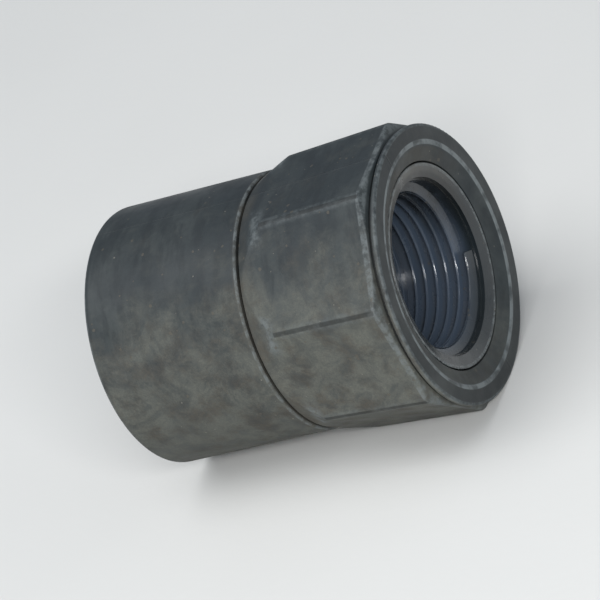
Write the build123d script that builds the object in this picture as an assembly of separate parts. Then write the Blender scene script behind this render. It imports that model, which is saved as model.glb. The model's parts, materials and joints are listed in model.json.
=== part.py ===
"""A slim 3/4 inch pipe union: a solvent socket on one end, a tapered female pipe thread on the other.

The pipe axis is X and points towards the threaded end. The origin is the middle of the assembled union.
Z lies in the plane that halves one of the nut's eight drafted flats.
Millimetres throughout. Profiles are drawn as (x, r), with x measured from the socket's end face.
"""

from build123d import *
import math
import os

# ---- what the union joins -------------------------------------------------------------------------
PIPE_SOCKET_R = 13.40  # socket bore for a 26.67 mm pipe
PIPE_SOCKET_DEPTH = 25.4
WATERWAY_R = 10.0

# ---- the outside ----------------------------------------------------------------------------------
OVERALL_LENGTH = 52.0
BARREL_R = 20.0
BARREL_LENGTH = 27.2
BARREL_END_ROUND = 1.2
SMALL_ROUND = 0.3  # edges that meet a neighbour
SOCKET_LEAD = 0.9  # chamfer that guides the pipe into the socket

# ---- the union thread that the nut runs on ---------------------------------------------------------
UNION_PITCH = 2.0
MALE_ROOT_R = 16.90
MALE_CREST_R = 17.70
FEMALE_CREST_R = 17.20
FEMALE_ROOT_R = 18.00
RIDGE_BASE_WIDTH = 1.10
RIDGE_CREST_WIDTH = 0.50
RIDGE_SINK = 0.25  # how far a ridge is rooted in its wall
MALE_THREAD_START = 28.35  # middle of the ridge where it starts
MALE_THREAD_TURNS = 3.0
FEMALE_THREAD_START = MALE_THREAD_START + UNION_PITCH / 2  # the ridges lie between each other
FEMALE_THREAD_TURNS = 2.8

# ---- the seal face, its groove and its ring --------------------------------------------------------
SEAL_X = 35.6
RING_SECTION = 2.62  # diameter of the ring's cord before it is squeezed
RING_MEAN_R = 13.15
GROOVE_WIDTH = 3.6
GROOVE_DEPTH = 2.05

# ---- the threaded end -------------------------------------------------------------------------------
FLANGE_R = 16.95
FLANGE_END = 43.6
COLLAR_R = 15.60
COLLAR_END = 50.9  # sits back inside the nut's rim
COLLAR_ROUND = 0.15
THREAD_WEB = 1.8  # solid web between the seal face and the pipe thread
MOUTH_R = 15.30  # wide end of the shallow cone in the mouth
MOUTH_CONE = 0.7
GUIDE_R = 13.55  # plain counterbore that guides the pipe to the first thread
GUIDE_LENGTH = 0.7

# ---- 3/4-14 tapered pipe thread ----------------------------------------------------------------------
PIPE_PITCH = 25.4 / 14
PIPE_THREAD_HEIGHT = 0.8 * PIPE_PITCH
PIPE_PITCH_R = 25.117 / 2  # at the mouth's end of the thread
PIPE_TAPER = 1 / 32  # change of radius per length
PIPE_CREST_WIDTH = 0.10

# ---- the nut ------------------------------------------------------------------------------------------
NUT_START = 27.7
FLAT_COUNT = 8
FRONT_APOTHEM = 21.1  # from the axis to a flat, where the flats end
FLAT_DRAFT = 3.0  # degrees by which each flat falls towards the barrel
CORNER_ROUND = 2.0  # rounded corners between the flats
ACROSS_CORNERS_R = 23.2  # a little outside the rounded corners
FLATS_END = 50.6
NUT_REAR_R = 19.70
NUT_REAR_CONE = 8.3  # length of the cone that arches the rear end of each flat
NUT_FRONT_R = 20.80
NUT_FRONT_CONE = 1.1
FLAT_EDGE_ROUND = 0.35  # soft edges round the flats
RIM_START = 51.1
RIM_R = 21.30
RIM_GROOVE_R = 20.50
RIM_ROUND = 0.35
LIP_GAP = 0.05  # between the nut's lip and the flange it pulls on
LIP_BORE_R = 15.85
LIP_BEVEL_R = 18.50  # the bevel leads from the front face down to the lip's bore
LIP_BEVEL_DEPTH = 1.1
THREAD_RELIEF_END = 36.1
NUT_LEAD = 0.7


def turned(*points):
    """A solid of revolution about the pipe axis, from its closed outline of (x, r) points."""
    outline = make_face(Plane.XZ * Polyline(*points, close=True))
    return revolve(outline, axis=Axis.X)


def rings_at(solid, *places):
    """The circular edges of a turned solid at the given (x, r) places."""
    found = []
    for edge in solid.edges().filter_by(GeomType.CIRCLE):
        x, r = edge.arc_center.X, edge.radius
        if any(abs(x - px) < 0.01 and abs(r - pr) < 0.01 for px, pr in places):
            found.append(edge)
    return found


def ridge(pitch, start, turns, base_r, crest_r, base_width, crest_width, taper=0.0):
    """A right-hand helical thread ridge whose middle starts at x = start, with base radius base_r there."""
    spiral = Helix(
        pitch,
        pitch * turns,
        base_r,
        center=(start, 0, 0),
        direction=(1, 0, 0),
        cone_angle=math.degrees(math.atan(taper)),
    )
    foot = spiral @ 0
    outward = Vector(0, foot.Y, foot.Z).normalized()
    section_plane = Plane(origin=foot, x_dir=outward, z_dir=spiral % 0)
    rise = crest_r - base_r
    section = make_face(
        section_plane
        * Polyline(
            (0, -base_width / 2),
            (rise, -crest_width / 2),
            (rise, crest_width / 2),
            (0, base_width / 2),
            close=True,
        )
    )
    return sweep(section, path=spiral, is_frenet=True)


def sunk_width(base_width, crest_width, rise, sink):
    """The width that a ridge's straight flanks reach when they are carried on into the wall."""
    return base_width + (base_width - crest_width) * sink / rise


def make_socket_end():
    """The body: pipe socket, web, and the threaded spigot with its seal groove."""
    body = turned(
        (0, PIPE_SOCKET_R),
        (0, BARREL_R),
        (BARREL_LENGTH, BARREL_R),
        (BARREL_LENGTH, MALE_ROOT_R),
        (SEAL_X, MALE_ROOT_R),
        (SEAL_X, WATERWAY_R),
        (PIPE_SOCKET_DEPTH, WATERWAY_R),
        (PIPE_SOCKET_DEPTH, PIPE_SOCKET_R),
    )
    body = chamfer(rings_at(body, (0, PIPE_SOCKET_R)), SOCKET_LEAD)
    body = fillet(rings_at(body, (0, BARREL_R)), BARREL_END_ROUND)
    body = fillet(rings_at(body, (BARREL_LENGTH, BARREL_R)), SMALL_ROUND)
    body = chamfer(rings_at(body, (SEAL_X, MALE_ROOT_R)), SMALL_ROUND)
    body = fillet(rings_at(body, (PIPE_SOCKET_DEPTH, WATERWAY_R)), SMALL_ROUND)
    inner = RING_MEAN_R - GROOVE_WIDTH / 2
    outer = RING_MEAN_R + GROOVE_WIDTH / 2
    floor = SEAL_X - GROOVE_DEPTH
    body -= turned((floor, inner), (floor, outer), (SEAL_X + 1, outer), (SEAL_X + 1, inner))
    rise = MALE_CREST_R - MALE_ROOT_R
    body += ridge(
        UNION_PITCH,
        MALE_THREAD_START,
        MALE_THREAD_TURNS,
        MALE_ROOT_R - RIDGE_SINK,
        MALE_CREST_R,
        sunk_width(RIDGE_BASE_WIDTH, RIDGE_CREST_WIDTH, rise, RIDGE_SINK),
        RIDGE_CREST_WIDTH,
    )
    return body


def make_o_ring():
    """The seal ring, squeezed flat between the groove's floor and the threaded end's face."""
    area = math.pi * (RING_SECTION / 2) ** 2
    round_area = math.pi * (GROOVE_DEPTH / 2) ** 2
    flat_width = (area - round_area) / GROOVE_DEPTH
    middle = (SEAL_X - GROOVE_DEPTH / 2, RING_MEAN_R)
    section = Plane.XZ * Pos(*middle) * SlotCenterToCenter(flat_width, GROOVE_DEPTH, rotation=90)
    return revolve(section, axis=Axis.X)


def make_threaded_end():
    """The tail: a flange that the nut pulls on, a collar, and the tapered pipe thread."""
    thread_floor = SEAL_X + THREAD_WEB
    guide_mouth = COLLAR_END - MOUTH_CONE
    thread_mouth = guide_mouth - GUIDE_LENGTH
    root_at_mouth = PIPE_PITCH_R + PIPE_THREAD_HEIGHT / 2
    root_at_floor = root_at_mouth - (thread_mouth - thread_floor) * PIPE_TAPER
    tail = turned(
        (SEAL_X, WATERWAY_R),
        (SEAL_X, FLANGE_R),
        (FLANGE_END, FLANGE_R),
        (FLANGE_END, COLLAR_R),
        (COLLAR_END, COLLAR_R),
        (COLLAR_END, MOUTH_R),
        (guide_mouth, GUIDE_R),
        (thread_mouth, GUIDE_R),
        (thread_mouth, root_at_mouth),
        (thread_floor, root_at_floor),
        (thread_floor, WATERWAY_R),
    )
    tail = fillet(rings_at(tail, (COLLAR_END, COLLAR_R)), COLLAR_ROUND)
    tail = chamfer(rings_at(tail, (SEAL_X, FLANGE_R)), SMALL_ROUND)
    base_width = PIPE_PITCH - PIPE_CREST_WIDTH
    turns = (thread_mouth - thread_floor) / PIPE_PITCH - 1
    root_at_start = root_at_floor + PIPE_TAPER * PIPE_PITCH / 2
    tail += ridge(
        PIPE_PITCH,
        thread_floor + PIPE_PITCH / 2,
        turns,
        root_at_start + RIDGE_SINK,
        root_at_start - PIPE_THREAD_HEIGHT,
        base_width,
        PIPE_CREST_WIDTH,
        PIPE_TAPER,
    )
    return tail


def make_union_nut():
    """The nut: an eight-flat band, a groove, a round front rim, and a lip over the flange."""
    band = turned(
        (NUT_START, 0),
        (NUT_START, ACROSS_CORNERS_R),
        (FLATS_END, ACROSS_CORNERS_R),
        (FLATS_END, 0),
    )
    waste = Pos(0, 0, OVERALL_LENGTH) * Box(4 * OVERALL_LENGTH, 2 * OVERALL_LENGTH, 2 * OVERALL_LENGTH)
    for turn in range(FLAT_COUNT):
        round_axis = Rot(360 * turn / FLAT_COUNT, 0, 0)
        band -= round_axis * Pos(FLATS_END, 0, FRONT_APOTHEM) * Rot(0, -FLAT_DRAFT, 0) * waste
    corners = band.edges().filter_by(GeomType.LINE).sort_by(Edge.length)[-FLAT_COUNT:]
    band = fillet(corners, CORNER_ROUND)
    band &= turned(
        (NUT_START, 0),
        (NUT_START, NUT_REAR_R),
        (NUT_START + NUT_REAR_CONE, ACROSS_CORNERS_R),
        (FLATS_END - NUT_FRONT_CONE, ACROSS_CORNERS_R),
        (FLATS_END, NUT_FRONT_R),
        (FLATS_END, 0),
    )
    arches = [
        edge
        for edge in band.edges()
        if edge.geom_type != GeomType.LINE and NUT_START < round((edge @ 0.5).X, 3) < FLATS_END
    ]
    band = fillet(arches, FLAT_EDGE_ROUND)
    rim = turned(
        (FLATS_END, 0),
        (FLATS_END, RIM_GROOVE_R),
        (RIM_START, RIM_GROOVE_R),
        (RIM_START, RIM_R),
        (OVERALL_LENGTH, RIM_R),
        (OVERALL_LENGTH, 0),
    )
    rim = fillet(rings_at(rim, (OVERALL_LENGTH, RIM_R), (RIM_START, RIM_R)), RIM_ROUND)
    blank = band + rim
    lip = FLANGE_END + LIP_GAP
    nut = blank - turned(
        (NUT_START - 1, 0),
        (NUT_START - 1, FEMALE_ROOT_R + NUT_LEAD + 1),
        (NUT_START + NUT_LEAD, FEMALE_ROOT_R),
        (THREAD_RELIEF_END, FEMALE_ROOT_R),
        (THREAD_RELIEF_END, FEMALE_CREST_R),
        (lip, FEMALE_CREST_R),
        (lip, LIP_BORE_R),
        (OVERALL_LENGTH - LIP_BEVEL_DEPTH, LIP_BORE_R),
        (OVERALL_LENGTH, LIP_BEVEL_R),
        (OVERALL_LENGTH + 1, LIP_BEVEL_R),
        (OVERALL_LENGTH + 1, 0),
    )
    rise = FEMALE_ROOT_R - FEMALE_CREST_R
    nut += ridge(
        UNION_PITCH,
        FEMALE_THREAD_START,
        FEMALE_THREAD_TURNS,
        FEMALE_ROOT_R + RIDGE_SINK,
        FEMALE_CREST_R,
        sunk_width(RIDGE_BASE_WIDTH, RIDGE_CREST_WIDTH, rise, RIDGE_SINK),
        RIDGE_CREST_WIDTH,
    )
    return nut


PIECES = {
    "socket_end": make_socket_end,
    "o_ring": make_o_ring,
    "threaded_end": make_threaded_end,
    "union_nut": make_union_nut,
}

os.makedirs("parts", exist_ok=True)
for name, make in PIECES.items():
    piece = Pos(-OVERALL_LENGTH / 2, 0, 0) * make()
    export_step(piece, f"parts/{name}.step")
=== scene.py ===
"""The looks of a slim pipe union: materials, floor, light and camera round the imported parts, in metres."""

import json
import math

import bpy
from mathutils import Matrix, Vector


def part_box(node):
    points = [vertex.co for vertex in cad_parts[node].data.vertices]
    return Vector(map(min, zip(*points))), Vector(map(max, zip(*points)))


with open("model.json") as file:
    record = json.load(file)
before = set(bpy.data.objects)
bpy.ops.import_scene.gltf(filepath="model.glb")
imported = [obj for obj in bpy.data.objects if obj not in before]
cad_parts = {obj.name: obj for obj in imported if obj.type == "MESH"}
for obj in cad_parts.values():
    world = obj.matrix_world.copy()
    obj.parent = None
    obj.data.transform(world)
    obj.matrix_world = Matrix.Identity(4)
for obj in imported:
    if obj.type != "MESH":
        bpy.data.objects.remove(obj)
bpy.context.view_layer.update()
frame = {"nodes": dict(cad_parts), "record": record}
MM = 0.001

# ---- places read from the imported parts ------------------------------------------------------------
MOUNTS = {mount["name"]: mount for mount in frame["record"]["mounts"]}
body_low, body_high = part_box("socket_end")
tail_low, tail_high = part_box("threaded_end")
nut_low, nut_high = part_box("union_nut")
SOCKET_FACE = body_low.x
SOCKET_FLOOR = SOCKET_FACE + 25.4 * MM
SOCKET_R = MOUNTS["pipe_socket"]["dims"]["r_mm"] * MM
BARREL_R = body_high.z
NUT_REAR = nut_low.x
NUT_FRONT = nut_high.x
RIM_R = nut_high.z
GROOVE_X = NUT_FRONT - 1.15 * MM  # middle of the groove between flats and rim
GROOVE_R = RIM_R - 0.8 * MM
FLATS_END = NUT_FRONT - 1.4 * MM
CORNER_R = RIM_R + 1.37 * MM  # the nut's rounded corners, where the flats end
CORNER_SLOPE = 0.0567  # change of the corners' radius per length
LIP_R = RIM_R - 2.8 * MM  # outer edge of the bevel in the nut's front face
COLLAR_END = tail_high.x
COLLAR_R = 15.6 * MM
GUIDE_R = MOUNTS["pipe_thread"]["dims"]["r_mm"] * MM
THREAD_MOUTH = COLLAR_END - 1.4 * MM
THREAD_CREST_R = GUIDE_R - 1.72 * MM  # at the thread's mouth
THREAD_TAPER = 1 / 32  # change of the thread's radius per length

# ---- colours, linear --------------------------------------------------------------------------------
SLATE = (0.019, 0.025, 0.028)
SLATE_PALE = (0.035, 0.042, 0.043)
SLATE_DEEP = (0.011, 0.015, 0.018)
# The threaded end is one plastic painted in two tones: the collar darker, as painted shade, and the pipe
# thread paler, as painted light in the bore.
COLLAR_BLUE_SHADED = (0.015, 0.020, 0.023)
THREAD_BLUE_LIT = (0.050, 0.068, 0.096)
DUST = (0.116, 0.118, 0.100)
DUST_BROWN = (0.078, 0.070, 0.055)
# pale scuffs and scratches; on the nut also painted highlights
SCUFF_AND_HIGHLIGHT = (0.152, 0.172, 0.177)
SPECK = (0.22, 0.21, 0.18)
# the dark of painted shade in steps, grooves and front faces, and of the thin lines along the nut's corners
SHADE_AND_LINE_DARK = (0.006, 0.007, 0.007)
BLACK_RUBBER = (0.009, 0.009, 0.010)
RUBBER_BLOOM = (0.035, 0.034, 0.032)
FLOOR_PALE = (0.60, 0.60, 0.585)
FLOOR_PALER = (0.64, 0.64, 0.625)

# ---- how far a mark hides what is under it, from 0 to 1 ---------------------------------------------
SCUFF_AND_HIGHLIGHT_SHARE = 0.55
HIGHLIGHT_SHARE = 0.85
SCRATCH_SHARE = 0.30
DIRT_SHARE = 0.55
SPECK_SHARE = 0.50

# ---- relief, as the depth of each layer's bump --------------------------------------------------------
WAVE_DEPTH = 0.10 * MM
GRAIN_DEPTH = 0.012 * MM
POWDER_DEPTH = 0.030 * MM
SCRATCH_DEPTH = 0.012 * MM
CRUMB_DEPTH = 0.045 * MM
PARTING_DEPTH = 0.05 * MM
CREST_ROUNDING = 0.22 * MM
CREST_SOFT_HEIGHT = 0.26 * MM  # how far down a thread's flank the rounding of its crest reaches


class Tree:
    """A short way to write a material's nodes: x, y, z are the place, and r the distance from the axis."""

    def __init__(self, name):
        self.material = bpy.data.materials.new(name)
        self.material.use_nodes = True
        self.nodes = self.material.node_tree.nodes
        self.links = self.material.node_tree.links
        self.nodes.clear()
        self.output = self.nodes.new("ShaderNodeOutputMaterial")
        self.place = self.nodes.new("ShaderNodeTexCoord").outputs["Object"]
        split = self.nodes.new("ShaderNodeSeparateXYZ")
        self.links.new(self.place, split.inputs[0])
        self.x, self.y, self.z = split.outputs
        self.r = self.math("SQRT", self.math("ADD", self.times(self.y, self.y), self.times(self.z, self.z)))

    def feed(self, socket, value):
        if isinstance(value, bpy.types.NodeSocket):
            self.links.new(value, socket)
        elif isinstance(value, tuple) and len(value) == 3 and socket.type == "RGBA":
            socket.default_value = (*value, 1.0)
        else:
            socket.default_value = value

    def math(self, operation, a, b=0.0, clamp=False):
        node = self.nodes.new("ShaderNodeMath")
        node.operation = operation
        node.use_clamp = clamp
        self.feed(node.inputs[0], a)
        self.feed(node.inputs[1], b)
        return node.outputs[0]

    def times(self, *values):
        product = values[0]
        for value in values[1:]:
            product = self.math("MULTIPLY", product, value)
        return product

    def most(self, *values):
        top = values[0]
        for value in values[1:]:
            top = self.math("MAXIMUM", top, value)
        return top

    def plus(self, *values):
        """The sum, kept between 0 and 1."""
        total = values[0]
        for value in values[1:]:
            total = self.math("ADD", total, value, clamp=True)
        return total

    def step(self, value, low, high, out_low=0.0, out_high=1.0):
        """A smooth step of value from low to high. low may be above high."""
        node = self.nodes.new("ShaderNodeMapRange")
        node.interpolation_type = "SMOOTHSTEP"
        if low > high:
            low, high, out_low, out_high = high, low, out_high, out_low
        self.feed(node.inputs["Value"], value)
        node.inputs["From Min"].default_value = low
        node.inputs["From Max"].default_value = high
        node.inputs["To Min"].default_value = out_low
        node.inputs["To Max"].default_value = out_high
        return node.outputs["Result"]

    def band(self, value, middle, half_width, soft):
        """1 where value is within half_width of middle, fading to 0 over soft."""
        off = self.math("ABSOLUTE", self.math("SUBTRACT", value, middle))
        return self.step(off, half_width + soft, half_width)

    def facing(self, degrees):
        """1 on the side of the pipe axis at that angle, from -Y up towards +Z, and -1 opposite."""
        angle = math.radians(degrees)
        out = self.math("SUBTRACT", self.times(self.z, math.sin(angle)), self.times(self.y, math.cos(angle)))
        return self.math("DIVIDE", out, self.r)

    def moved(self, shift=(0, 0, 0), scale=(1, 1, 1), turn=(0, 0, 0)):
        node = self.nodes.new("ShaderNodeMapping")
        self.links.new(self.place, node.inputs["Vector"])
        node.inputs["Location"].default_value = shift
        node.inputs["Rotation"].default_value = turn
        node.inputs["Scale"].default_value = scale
        return node.outputs["Vector"]

    def noise(self, size, detail=4.0, rough=0.55, distort=0.0, where=None):
        """Noise whose features are about size metres across."""
        node = self.nodes.new("ShaderNodeTexNoise")
        self.links.new(where or self.place, node.inputs["Vector"])
        node.inputs["Scale"].default_value = 1.0 / size
        node.inputs["Detail"].default_value = detail
        node.inputs["Roughness"].default_value = rough
        node.inputs["Distortion"].default_value = distort
        return node.outputs["Fac"]

    def cells(self, size, where=None):
        """(distance from the nearest cell centre, a random grey for each cell)."""
        node = self.nodes.new("ShaderNodeTexVoronoi")
        self.links.new(where or self.place, node.inputs["Vector"])
        node.inputs["Scale"].default_value = 1.0 / size
        split = self.nodes.new("ShaderNodeSeparateColor")
        self.links.new(node.outputs["Color"], split.inputs[0])
        return node.outputs["Distance"], split.outputs[0]

    def mix(self, share, a, b):
        node = self.nodes.new("ShaderNodeMix")
        node.data_type = "RGBA"
        factor, colour_a, colour_b = node.inputs[0], node.inputs[6], node.inputs[7]
        self.feed(factor, share)
        self.feed(colour_a, a)
        self.feed(colour_b, b)
        return node.outputs[2]

    def bump(self, height, depth, under=None):
        """Relief of the given depth in metres at height 1."""
        node = self.nodes.new("ShaderNodeBump")
        node.inputs["Distance"].default_value = depth
        self.feed(node.inputs["Height"], height)
        if under is not None:
            self.links.new(under, node.inputs["Normal"])
        return node.outputs["Normal"]

    def surface(self, colour, roughness, normal, specular=0.5):
        shader = self.nodes.new("ShaderNodeBsdfPrincipled")
        self.feed(shader.inputs["Base Color"], colour)
        self.feed(shader.inputs["Roughness"], roughness)
        shader.inputs["IOR"].default_value = 1.53
        shader.inputs["Specular IOR Level"].default_value = specular
        self.links.new(normal, shader.inputs["Normal"])
        self.links.new(shader.outputs["BSDF"], self.output.inputs["Surface"])
        return self.material


def soft_crests(t):
    """0 on the pipe thread's crests, rising to 1 a little way down their flanks."""
    crest = t.math("ADD", t.times(t.math("SUBTRACT", t.x, THREAD_MOUTH), THREAD_TAPER), THREAD_CREST_R)
    return t.step(t.math("SUBTRACT", t.r, crest), 0.0, CREST_SOFT_HEIGHT)


def inside_thread(t):
    """1 on the pipe thread, fading in over its first turn from the mouth: where the thread's paler colour,
    painted light in the bore, takes over from the collar's painted shade.
    """
    past_mouth = t.step(t.x, THREAD_MOUTH, THREAD_MOUTH - 2.4 * MM)
    return t.times(past_mouth, t.step(t.r, GUIDE_R, GUIDE_R - 0.2 * MM))


def parting_line(t):
    """The mould's parting line, along the top and the bottom of the outside, where y is 0."""
    return t.times(t.band(t.y, 0.0, 0.05 * MM, 0.09 * MM), t.step(t.r, LIP_R, LIP_R + 1.5 * MM))


def scratches(t, spacing, thin, chance, turn):
    """Fine scratches along one direction: stretched cells, few of them marked."""
    along = t.moved(turn=turn, scale=(0.07, 1.0, 1.0))
    distance, pick = t.cells(spacing, along)
    return t.times(t.step(distance, thin, thin * 0.25), t.step(pick, 1 - chance, 1 - chance * 0.6))


def crumbs(t, spacing, share, chance, shift):
    """Small ragged crumbs of dirt: cells with an uneven edge, few of them marked."""
    distance, pick = t.cells(spacing, t.moved(shift=shift))
    ragged = t.math("ADD", distance, t.times(t.noise(spacing * 0.35, detail=3), 0.35))
    size = t.step(pick, 1 - chance, 1.0, share * 0.4, share)
    inside = t.math("GREATER_THAN", t.math("ADD", size, 0.175), ragged)
    return t.times(inside, t.math("GREATER_THAN", pick, 1 - chance))


def plastic_colour(t, deep, clean, pale):
    """Moulded plastic: broad patches, flow marks round the pipe and a fine mottle."""
    broad = t.noise(13 * MM, detail=3)
    flow = t.noise(5 * MM, detail=5, rough=0.6, where=t.moved(scale=(2.6, 0.6, 0.6), shift=(0.2, 0.6, 0.1)))
    mottle = t.noise(1.6 * MM, detail=6, rough=0.62)
    colour = t.mix(t.step(broad, 0.36, 0.66), clean, pale)
    colour = t.mix(t.times(t.step(flow, 0.44, 0.64), 0.55), colour, deep)
    return t.mix(t.times(t.step(mottle, 0.44, 0.62), 0.30), colour, deep)


def dust_film(t, amount):
    """A film of dust: heavier low down and towards the threaded end, broken up where it was handled."""
    low = t.step(t.facing(-38), -0.35, 0.98)
    lengthwise = t.step(t.x, SOCKET_FACE, NUT_FRONT, 0.35, 1.0)
    film = t.noise(8.5 * MM, detail=8, rough=0.66, distort=0.5)
    patches = t.noise(1.9 * MM, detail=8, rough=0.74, distort=0.8, where=t.moved(shift=(0.1, 0.5, 0.2)))
    rubbed = t.noise(5.5 * MM, detail=5, rough=0.7, distort=1.6, where=t.moved(shift=(0.3, 0.1, 0.7)))
    powder = t.noise(0.30 * MM, detail=3, rough=0.7)
    spread = t.math("ADD", t.times(film, 0.62), t.times(patches, 0.30))
    spread = t.math("ADD", spread, t.times(low, 0.40))
    spread = t.math("ADD", spread, t.times(lengthwise, 0.07))
    dust = t.step(spread, 0.50, 0.90)
    handled = t.step(rubbed, 0.32, 0.60, 0.48, 1.0)
    front = t.step(t.x, NUT_FRONT - 0.25 * MM, NUT_FRONT - 0.05 * MM, 1.0, 0.12)
    bevel = t.step(t.r, LIP_R, LIP_R - 0.2 * MM, 1.0, 0.40)
    return t.times(dust, handled, front, bevel, t.step(powder, 0.25, 0.75, 0.60, 1.0), amount), powder


def dusty_plastic(name, clean, pale, marks, dust_amount, gloss, specular, threaded=False):
    """Moulded plastic under a patchy film of dust.

    marks holds four functions of the tree: where the piece is scuffed (on the nut also where highlights are
    painted), holds dirt, is painted dark (painted shade, and on the nut dark lines along the corners), has a
    painted highlight along an edge.
    """
    t = Tree(name)
    wear_and_highlights, crevice, shade_and_lines, edge = marks
    colour = plastic_colour(t, SLATE_DEEP, clean, pale)
    # the pipe thread painted paler than the collar of the same plastic: painted light in the bore
    if threaded:
        colour = t.mix(inside_thread(t), colour, THREAD_BLUE_LIT)
    dust, powder = dust_film(t, dust_amount)
    brown = t.noise(4.5 * MM, detail=6, rough=0.65, where=t.moved(shift=(0.9, 0.2, 0.4)))
    colour = t.mix(dust, colour, t.mix(t.step(brown, 0.42, 0.66), DUST, DUST_BROWN))
    packed = t.times(crevice(t), t.step(brown, 0.34, 0.60, 0.30, 1.0))
    colour = t.mix(packed, colour, DUST_BROWN)

    ragged = t.step(t.noise(1.3 * MM, detail=6, rough=0.72), 0.40, 0.62, 0.15, 1.0)
    # scuffs, and on the nut painted highlights on its shoulder and on the front ends of its flats
    worn_and_lit = t.times(wear_and_highlights(t), ragged)
    colour = t.mix(t.times(worn_and_lit, SCUFF_AND_HIGHLIGHT_SHARE), colour, SCUFF_AND_HIGHLIGHT)
    # painted shade, and on the nut the dark lines along its corners
    colour = t.mix(shade_and_lines(t), colour, SHADE_AND_LINE_DARK)
    # painted highlight along the lip of the nut's front face
    colour = t.mix(t.times(edge(t), HIGHLIGHT_SHARE), colour, SCUFF_AND_HIGHLIGHT)
    lines = t.most(
        scratches(t, 1.9 * MM, 0.050, 0.22, (0.2, 0.5, 1.2)),
        scratches(t, 2.6 * MM, 0.040, 0.22, (1.1, 0.2, 0.35)),
        scratches(t, 1.5 * MM, 0.045, 0.12, (0.4, 1.3, 2.3)),
    )
    colour = t.mix(t.times(lines, SCRATCH_SHARE), colour, SCUFF_AND_HIGHLIGHT)
    dirt = crumbs(t, 1.3 * MM, 0.22, 0.16, (0.4, 0.8, 0.3))
    colour = t.mix(t.times(dirt, DIRT_SHARE), colour, DUST_BROWN)
    specks = crumbs(t, 0.9 * MM, 0.13, 0.05, (0.7, 0.1, 0.6))
    colour = t.mix(t.times(specks, SPECK_SHARE), colour, SPECK)

    smear = t.noise(5 * MM, detail=5, where=t.moved(shift=(0.5, 0.5, 0.5)))
    roughness = t.step(smear, 0.3, 0.7, gloss - 0.06, gloss + 0.09)
    roughness = t.plus(roughness, t.times(dust, 0.50), t.times(worn_and_lit, 0.10), t.times(packed, 0.3))

    relief = t.bump(t.noise(7 * MM, detail=2), WAVE_DEPTH)
    relief = t.bump(t.noise(0.7 * MM, detail=4), GRAIN_DEPTH, under=relief)
    relief = t.bump(t.times(powder, dust), POWDER_DEPTH, under=relief)
    relief = t.bump(t.math("SUBTRACT", 1.0, lines), SCRATCH_DEPTH, under=relief)
    relief = t.bump(t.most(dirt, specks), CRUMB_DEPTH, under=relief)
    relief = t.bump(parting_line(t), PARTING_DEPTH, under=relief)
    if threaded:
        relief = t.bump(soft_crests(t), CREST_ROUNDING, under=relief)
    return t.surface(colour, roughness, relief, specular)


def ring(t, x_low, x_high, r_low, r_high, soft=0.3 * MM):
    """1 inside a ring of the union, given by its places along and from the axis, with soft edges."""
    along = t.times(t.step(t.x, x_low - soft, x_low), t.step(t.x, x_high + soft, x_high))
    out = t.times(t.step(t.r, r_low - soft, r_low), t.step(t.r, r_high + soft, r_high))
    return t.times(along, out)


# ---- where each piece is scuffed or dirty, and where shade and highlights are painted --------------
def nowhere(t):
    """For a piece that lacks a kind of mark."""
    return 0.0


def body_wear(t):
    """Scuffed edges of the barrel's two ends and of the socket's mouth."""
    rear = ring(t, SOCKET_FACE, SOCKET_FACE + 0.5 * MM, BARREL_R - 0.5 * MM, BARREL_R)
    mouth = ring(t, SOCKET_FACE, SOCKET_FACE + 0.8 * MM, SOCKET_R, SOCKET_R + 1.0 * MM)
    front = ring(t, NUT_REAR - 0.8 * MM, NUT_REAR - 0.45 * MM, BARREL_R - 0.3 * MM, BARREL_R, 0.15 * MM)
    return t.most(rear, mouth, front)


def body_crevice(t):
    """Dirt in the step behind the nut and round the floor of the socket."""
    shoulder = ring(t, NUT_REAR - 0.5 * MM, NUT_REAR + 0.5 * MM, SOCKET_R, BARREL_R - 0.3 * MM, 0.8 * MM)
    stop = ring(t, SOCKET_FLOOR - 1.5 * MM, SOCKET_FLOOR, SOCKET_R - 0.8 * MM, SOCKET_R, 1.6 * MM)
    return t.times(t.most(shoulder, stop), 0.55)


def body_painted_shade(t):
    """Painted shade in the step behind the nut."""
    shade = ring(t, NUT_REAR - 0.45 * MM, NUT_REAR + 1.0 * MM, SOCKET_R, BARREL_R - 0.5 * MM, 0.2 * MM)
    return t.times(shade, 0.35)


def below_corner(t):
    """How far out of the crown of the nut's rounded corners a place is: 0 on it, negative below it."""
    corner_r = t.math("ADD", t.times(t.math("SUBTRACT", t.x, FLATS_END), CORNER_SLOPE), CORNER_R)
    return t.math("SUBTRACT", t.r, corner_r)


def nut_wear_and_highlights(t):
    """Scuffs on the corners and the rim, and painted highlights on the shoulder's arches and the front ends
    of the flats.
    """
    corners = t.times(t.step(below_corner(t), -0.28 * MM, -0.06 * MM), 0.40)
    # painted highlights on the shoulder's arches
    shoulder_r = t.step(t.r, RIM_R - 0.9 * MM, RIM_R - 0.1 * MM)
    shoulder = t.times(shoulder_r, t.step(t.x, NUT_REAR + 5.4 * MM, NUT_REAR + 3.4 * MM))
    # painted highlight on the front ends of the flats
    front = ring(t, FLATS_END - 1.1 * MM, FLATS_END - 0.3 * MM, RIM_R - 0.4 * MM, CORNER_R, 0.2 * MM)
    rim = ring(t, NUT_FRONT - 0.35 * MM, NUT_FRONT, RIM_R - 0.4 * MM, RIM_R, 0.15 * MM)
    return t.most(corners, shoulder, t.times(front, 0.95), t.times(rim, 0.8))


def nut_crevice(t):
    """Dirt on the shoulder and, on its upper side, in the bevelled mouth."""
    arch = ring(t, NUT_REAR, NUT_REAR + 0.8 * MM, COLLAR_R, CORNER_R, 1.8 * MM)
    bevel = ring(t, NUT_FRONT - 1.6 * MM, NUT_FRONT - 0.4 * MM, COLLAR_R, LIP_R - 0.6 * MM)
    upper = t.step(t.facing(100), 0.3, 1.0)
    return t.most(t.times(arch, 0.30), t.times(bevel, upper, 0.40))


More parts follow.
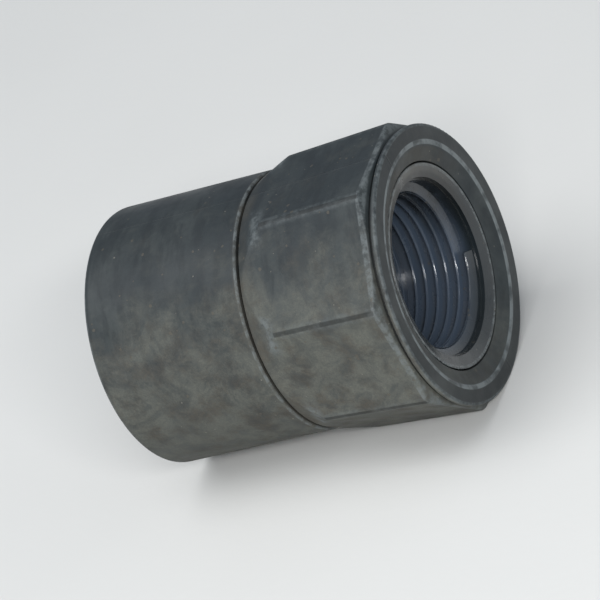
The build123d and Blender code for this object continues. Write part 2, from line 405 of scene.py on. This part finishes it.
def nut_shade_and_crown_lines(t):
    """Dark places: a thin dark line along the crowns of the corners, and painted shade on the floor of the
    front groove and on the front face.
    """
    along = t.step(t.x, NUT_REAR + 3.0 * MM, NUT_REAR + 5.0 * MM)
    crown = t.times(t.step(below_corner(t), -0.045 * MM, -0.008 * MM), along)
    broken = t.step(t.noise(3.0 * MM, detail=4), 0.36, 0.52, 0.35, 1.0)
    # painted shade on the floor of the groove and on the front face
    groove = ring(t, GROOVE_X - 0.25 * MM, GROOVE_X + 0.25 * MM, LIP_R, GROOVE_R, 0.12 * MM)
    face = ring(t, NUT_FRONT - 0.1 * MM, NUT_FRONT, LIP_R, RIM_R - 0.5 * MM, 0.1 * MM)
    return t.most(t.times(crown, broken, 0.62), t.times(groove, 0.8), t.times(face, 0.25))


def nut_lip_highlight(t):
    """The light line round the inner edge of the nut's front face: a painted highlight on that edge, with
    some wear of the lip.
    """
    lip = ring(t, NUT_FRONT - 0.3 * MM, NUT_FRONT, LIP_R - 0.30 * MM, LIP_R + 0.32 * MM, 0.12 * MM)
    return t.times(lip, t.step(t.noise(2.2 * MM, detail=4), 0.34, 0.58, 0.25, 1.0))


def tail_wear(t):
    """The scuffed outer edge of the collar."""
    return ring(t, COLLAR_END - 0.15 * MM, COLLAR_END, COLLAR_R - 0.45 * MM, COLLAR_R, 0.15 * MM)


def tail_crevice(t):
    """Dirt in the upper side of the mouth and in the roots of the pipe thread."""
    upper = t.step(t.facing(100), 0.2, 1.0)
    mouth = ring(t, COLLAR_END - 2.4 * MM, COLLAR_END, GUIDE_R, COLLAR_R)
    roots = ring(t, tail_low.x, COLLAR_END - 3.0 * MM, GUIDE_R - 0.9 * MM, GUIDE_R - 0.1 * MM)
    return t.most(t.times(mouth, upper, 0.55), t.times(roots, 0.20))


def tail_painted_shade(t):
    """Painted shade on the upper part of the mouth and of the first turns of the pipe thread."""
    upper = t.step(t.facing(124), 0.10, 0.90)
    rear, front = COLLAR_END - 7.0 * MM, COLLAR_END - 0.5 * MM
    mouth = ring(t, rear, front, THREAD_CREST_R - 1.0 * MM, GUIDE_R + 0.6 * MM, 0.6 * MM)
    return t.times(upper, mouth, t.step(t.noise(2.5 * MM, detail=5), 0.30, 0.60, 0.60, 0.88))


def black_rubber():
    """Matt black rubber with a pale bloom and a thin line of moulding flash round its middle."""
    t = Tree("seal_ring_rubber")
    bloom = t.noise(3 * MM, detail=5, rough=0.6)
    colour = t.mix(t.times(t.step(bloom, 0.45, 0.7), 0.4), BLACK_RUBBER, RUBBER_BLOOM)
    roughness = t.step(bloom, 0.3, 0.7, 0.42, 0.62)
    relief = t.bump(t.noise(0.3 * MM, detail=3), 0.01 * MM)
    ring_low, ring_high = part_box("o_ring")
    flash = t.band(t.x, (ring_low.x + ring_high.x) / 2, 0.06 * MM, 0.08 * MM)
    relief = t.bump(flash, 0.04 * MM, under=relief)
    return t.surface(colour, roughness, relief)


def paint(node, material):
    """Gives the CAD node's mesh this one material."""
    mesh = frame["nodes"][node].data
    mesh.materials.clear()
    mesh.materials.append(material)


paint("socket_end", dusty_plastic(
    "socket_end_plastic", SLATE, SLATE_PALE, (body_wear, body_crevice, body_painted_shade, nowhere),
    dust_amount=0.80, gloss=0.46, specular=0.28))
paint("union_nut", dusty_plastic(
    "union_nut_plastic", SLATE, SLATE_PALE, (nut_wear_and_highlights, nut_crevice, nut_shade_and_crown_lines, nut_lip_highlight),
    dust_amount=0.88, gloss=0.44, specular=0.30))
paint("threaded_end", dusty_plastic(
    "threaded_end_plastic", COLLAR_BLUE_SHADED, COLLAR_BLUE_SHADED, (tail_wear, tail_crevice, tail_painted_shade, nowhere),
    dust_amount=0.12, gloss=0.20, specular=0.70, threaded=True))
paint("o_ring", black_rubber())


# ---- floor, light and camera --------------------------------------------------------------------------
FLOOR_HALF = 1.5


def make_floor():
    mesh = bpy.data.meshes.new("floor")
    corners = [(-FLOOR_HALF, -FLOOR_HALF, 0), (FLOOR_HALF, -FLOOR_HALF, 0)]
    corners += [(FLOOR_HALF, FLOOR_HALF, 0), (-FLOOR_HALF, FLOOR_HALF, 0)]
    mesh.from_pydata(corners, [], [(0, 1, 2, 3)])
    floor = bpy.data.objects.new("floor", mesh)
    bpy.context.scene.collection.objects.link(floor)
    tilt = math.atan((RIM_R - BARREL_R) / (NUT_FRONT - SOCKET_FACE))
    floor.rotation_euler.y = tilt  # the union lies on its barrel's end and the nut's rim
    floor.location.z = -(RIM_R + BARREL_R) / 2
    t = Tree("pale_floor")
    colour = t.mix(t.noise(60 * MM, detail=3), FLOOR_PALE, FLOOR_PALER)
    relief = t.bump(t.noise(1.5 * MM, detail=2), 0.02 * MM)
    mesh.materials.append(t.surface(colour, 0.7, relief, specular=0.2))


VIEW_ALONG_AXIS = 0.49  # cosine between the pipe axis and the line to the camera
VIEW_ROUND_AXIS = 33.5  # degrees from -Y up towards +Z
AXIS_RISE = math.radians(13.6)  # the pipe axis climbs to the right in the picture
CAMERA_DISTANCE = 0.70
LENS = 280.0

# name, cosine to the pipe axis, degrees round it from -Y to +Z, distance in metres,
# (length along the axis, width) in metres, watts
LIGHTS = (
    ("strip", 0.52, VIEW_ROUND_AXIS + 3, 0.80, (0.40, 0.07), 4.6),
    ("low", -0.25, 5.0, 0.90, (0.60, 0.40), 1.6),
    ("top", -0.20, 75.0, 1.10, (1.10, 0.90), 9.3),
)
SKY = (0.82, 0.90, 1.0, 1.0)
SKY_STRENGTH = 0.38


def direction(along, degrees):
    """The unit vector at that cosine to the pipe axis and that angle round it."""
    off_axis = math.sqrt(1 - along**2)
    angle = math.radians(degrees)
    return Vector((along, -off_axis * math.cos(angle), off_axis * math.sin(angle)))


def make_lights():
    world = bpy.data.worlds.new("studio")
    world.use_nodes = True
    sky = world.node_tree.nodes["Background"]
    sky.inputs["Color"].default_value = SKY
    sky.inputs["Strength"].default_value = SKY_STRENGTH
    bpy.context.scene.world = world
    for name, along, degrees, distance, (length, width), watts in LIGHTS:
        data = bpy.data.lights.new(name, "AREA")
        data.shape = "RECTANGLE"
        data.size = length
        data.size_y = width
        data.energy = watts
        light = bpy.data.objects.new(name, data)
        bpy.context.scene.collection.objects.link(light)
        out = direction(along, degrees)
        light.location = out * distance
        light.rotation_euler = out.to_track_quat("Z", "Y").to_euler()


def make_camera():
    back = direction(VIEW_ALONG_AXIS, VIEW_ROUND_AXIS)
    axis = Vector((1, 0, 0))
    along = (axis - back * axis.dot(back)).normalized()
    right = along * math.cos(AXIS_RISE) - back.cross(along) * math.sin(AXIS_RISE)
    data = bpy.data.cameras.new("camera")
    data.lens = LENS
    data.clip_start = 10 * MM
    camera = bpy.data.objects.new("camera", data)
    bpy.context.scene.collection.objects.link(camera)
    turn = Matrix((right, back.cross(right), back)).transposed().to_4x4()
    camera.matrix_world = Matrix.Translation(back * CAMERA_DISTANCE) @ turn
    bpy.context.scene.camera = camera


make_floor()
make_lights()
make_camera()
bpy.context.scene.view_settings.view_transform = "Standard"
